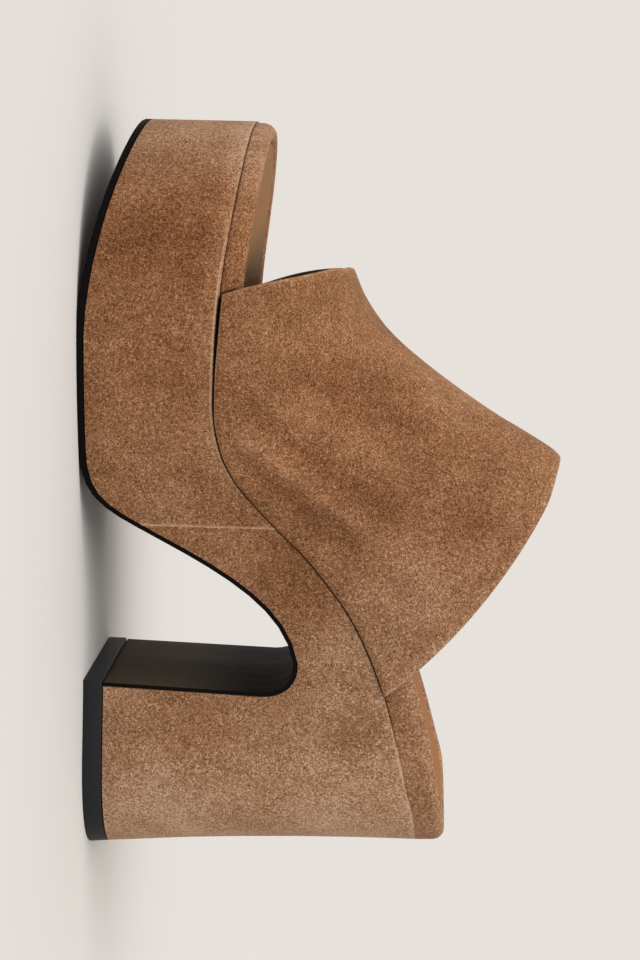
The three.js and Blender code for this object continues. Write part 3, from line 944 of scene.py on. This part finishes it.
vamp = grid_piece("vamp", columns=104, rows=152, where=vamp_place)
for name, column in (("from_opening", 0), ("from_topline", 1), ("from_seam", 2), ("pressed", 3)):
    attribute = vamp.data.attributes.new(name, "FLOAT", "POINT")
    attribute.data.foreach_set("value", [edges[column] * millimetres for edges in from_edges])
edit(vamp, lambda: bpy.ops.mesh.normals_make_consistent(inside=False))


def vamp_paler_hems_and_fold_highlight(finish, place):
    """Paler along both hems, with a painted highlight on the folds that stand out."""
    topline = finish.stored("from_topline").fade(0.5, 4) * 0.9
    opening = finish.stored("from_opening").fade(0.4, 3) * 0.7
    fold_highlight = (0 - finish.stored("pressed")).ramp(0.0, 0.7) * 0.8
    return topline + opening + fold_highlight


def vamp_bare(finish, place):
    """The cut lip along its lower edge in front, and the hems: all of the toe opening's, and the
    topline's low at the back corners."""
    seam = finish.stored("from_seam")
    lip = seam.fade(0.3, 1.0) * finish.axes(place)[0].ramp(10, 46) * 0.5
    back_corner = finish.stored("from_topline").fade(0.1, 0.9) * seam.fade(3, 18) * 0.45
    return lip + back_corner + finish.stored("from_opening").fade(0.1, 0.8) * 0.3


def vamp_gap_shadow(finish, place):
    """Painted black shadow along its lower edge behind the lip, where it is caught."""
    return finish.stored("from_seam").fade(0.1, 0.5) * finish.axes(place)[0].fade(4, 30) * 0.85


def vamp_painted_shade(finish, place):
    """Painted shade just above the sole and down in the creases."""
    low = finish.stored("from_seam").fade(0.2, 2.4) * 0.8
    crease_shade = finish.stored("pressed").ramp(0.1, 1.3) * 0.75
    return low + crease_shade


vamp_patches = [
    {"x": 36, "z": 74, "radius": 22, "tone": -0.05},
    {"x": 20, "z": 96, "radius": 20, "tone": -0.04},
    {"x": 52, "z": 62, "radius": 16, "tone": 0.02},
    {"x": 8, "z": 62, "radius": 20, "tone": -0.04},
    {"x": -26, "z": 96, "radius": 24, "tone": 0.07},
    {"x": -4, "z": 118, "radius": 18, "tone": -0.05},
    {"x": 30, "z": 112, "radius": 16, "tone": 0.05},
    {"x": 8, "z": 138, "radius": 14, "tone": 0.05},
]
vamp_suede = suede(
    "vamp suede",
    tone=0.015,
    paler=vamp_paler_hems_and_fold_highlight,
    darker=vamp_painted_shade,
    patches=vamp_patches,
    painted_gap_shadow=vamp_gap_shadow,
    bare=vamp_bare,
)
vamp.data.materials.append(vamp_suede.material)
lining_finish = Finish("vamp lining", Roughness=0.6, Specular_IOR_Level=0.35)
lining_place = lining_finish.place()
lining_grain = lining_finish.noise(lining_place, 1.2, 3.0, 0.6)
lining_colour = lining_finish.blend(lining_grain, (0.020, 0.014, 0.010), (0.042, 0.029, 0.021))
lining_finish.set("Base Color", lining_colour)
lining_finish.set("Roughness", lining_grain * 0.25 + 0.45)
lining_finish.set("Normal", lining_finish.bump(lining_grain, 0.00012, 0.5))
vamp.data.materials.append(lining_finish.material)
edge_suede = suede("folded suede edge", tone=0.10)
vamp.data.materials.append(edge_suede.material)
finished(
    vamp,
    "SOLIDIFY",
    thickness=upper_wall,
    offset=-1,
    use_even_offset=True,
    material_offset=1,
    material_offset_rim=2,
)
rounded(vamp, cover_edge, sharp=50, smooth_under=40)
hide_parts("upper")
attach(vamp, "root")

# Floor and light
# A pale floor that runs out level as far as can be seen and meets a room of the same paleness. One
# broad soft light comes from above, from the toe and the viewer's side; the room fills the shadows.
room_paleness = 0.80
room_tint = (1.0, 0.942, 0.886)
light_share = 0.53
light_height = math.radians(52)
light_side = math.radians(52)
light_spread = math.radians(62)
light_strength = light_share * math.pi / math.sin(light_height)

# The floor is inset twice, so that its faces near the shoe are small.
floor_radius = 60
outer_ring = 57
inner_ring = 2
bpy.ops.object.select_all(action="DESELECT")
bpy.ops.mesh.primitive_circle_add(vertices=64, radius=floor_radius, fill_type="NGON")
floor = bpy.context.object
floor.name = "studio_floor"
edit(
    floor,
    lambda: bpy.ops.mesh.inset(thickness=outer_ring),
    lambda: bpy.ops.mesh.inset(thickness=inner_ring),
)
floor_finish = Finish("studio floor", Roughness=1.0, Specular_IOR_Level=0.0)
floor_cloud = floor_finish.noise(floor_finish.place(), 0.008, 2.0, 0.5)
floor_tint = [room_paleness * share / (room_paleness * share + light_share) for share in room_tint]
floor_darker = [share * 0.99 for share in floor_tint]
floor_paler = [share * 1.01 for share in floor_tint]
floor_finish.set("Base Color", floor_finish.blend(floor_cloud, floor_darker, floor_paler))
floor.data.materials.append(floor_finish.material)

bpy.ops.object.select_all(action="DESELECT")
bpy.ops.object.light_add(type="SUN", location=(0.6, 0.6, 1.2))
key_light = bpy.context.object
key_light.name = "broad_soft_light"
key_light.data.energy = light_strength
key_light.data.angle = light_spread
light_from = Vector(
    (
        math.cos(light_height) * math.cos(light_side),
        math.cos(light_height) * math.sin(light_side),
        math.sin(light_height),
    )
)
key_light.rotation_mode = "QUATERNION"
key_light.rotation_quaternion = light_from.to_track_quat("Z", "Y")
world = bpy.data.worlds.new("pale room")
world.use_nodes = True
room = world.node_tree.nodes["Background"]
room.inputs["Color"].default_value = (*room_tint, 1)
room.inputs["Strength"].default_value = room_paleness
bpy.context.scene.world = world
bpy.context.scene.view_settings.view_transform = "Standard"
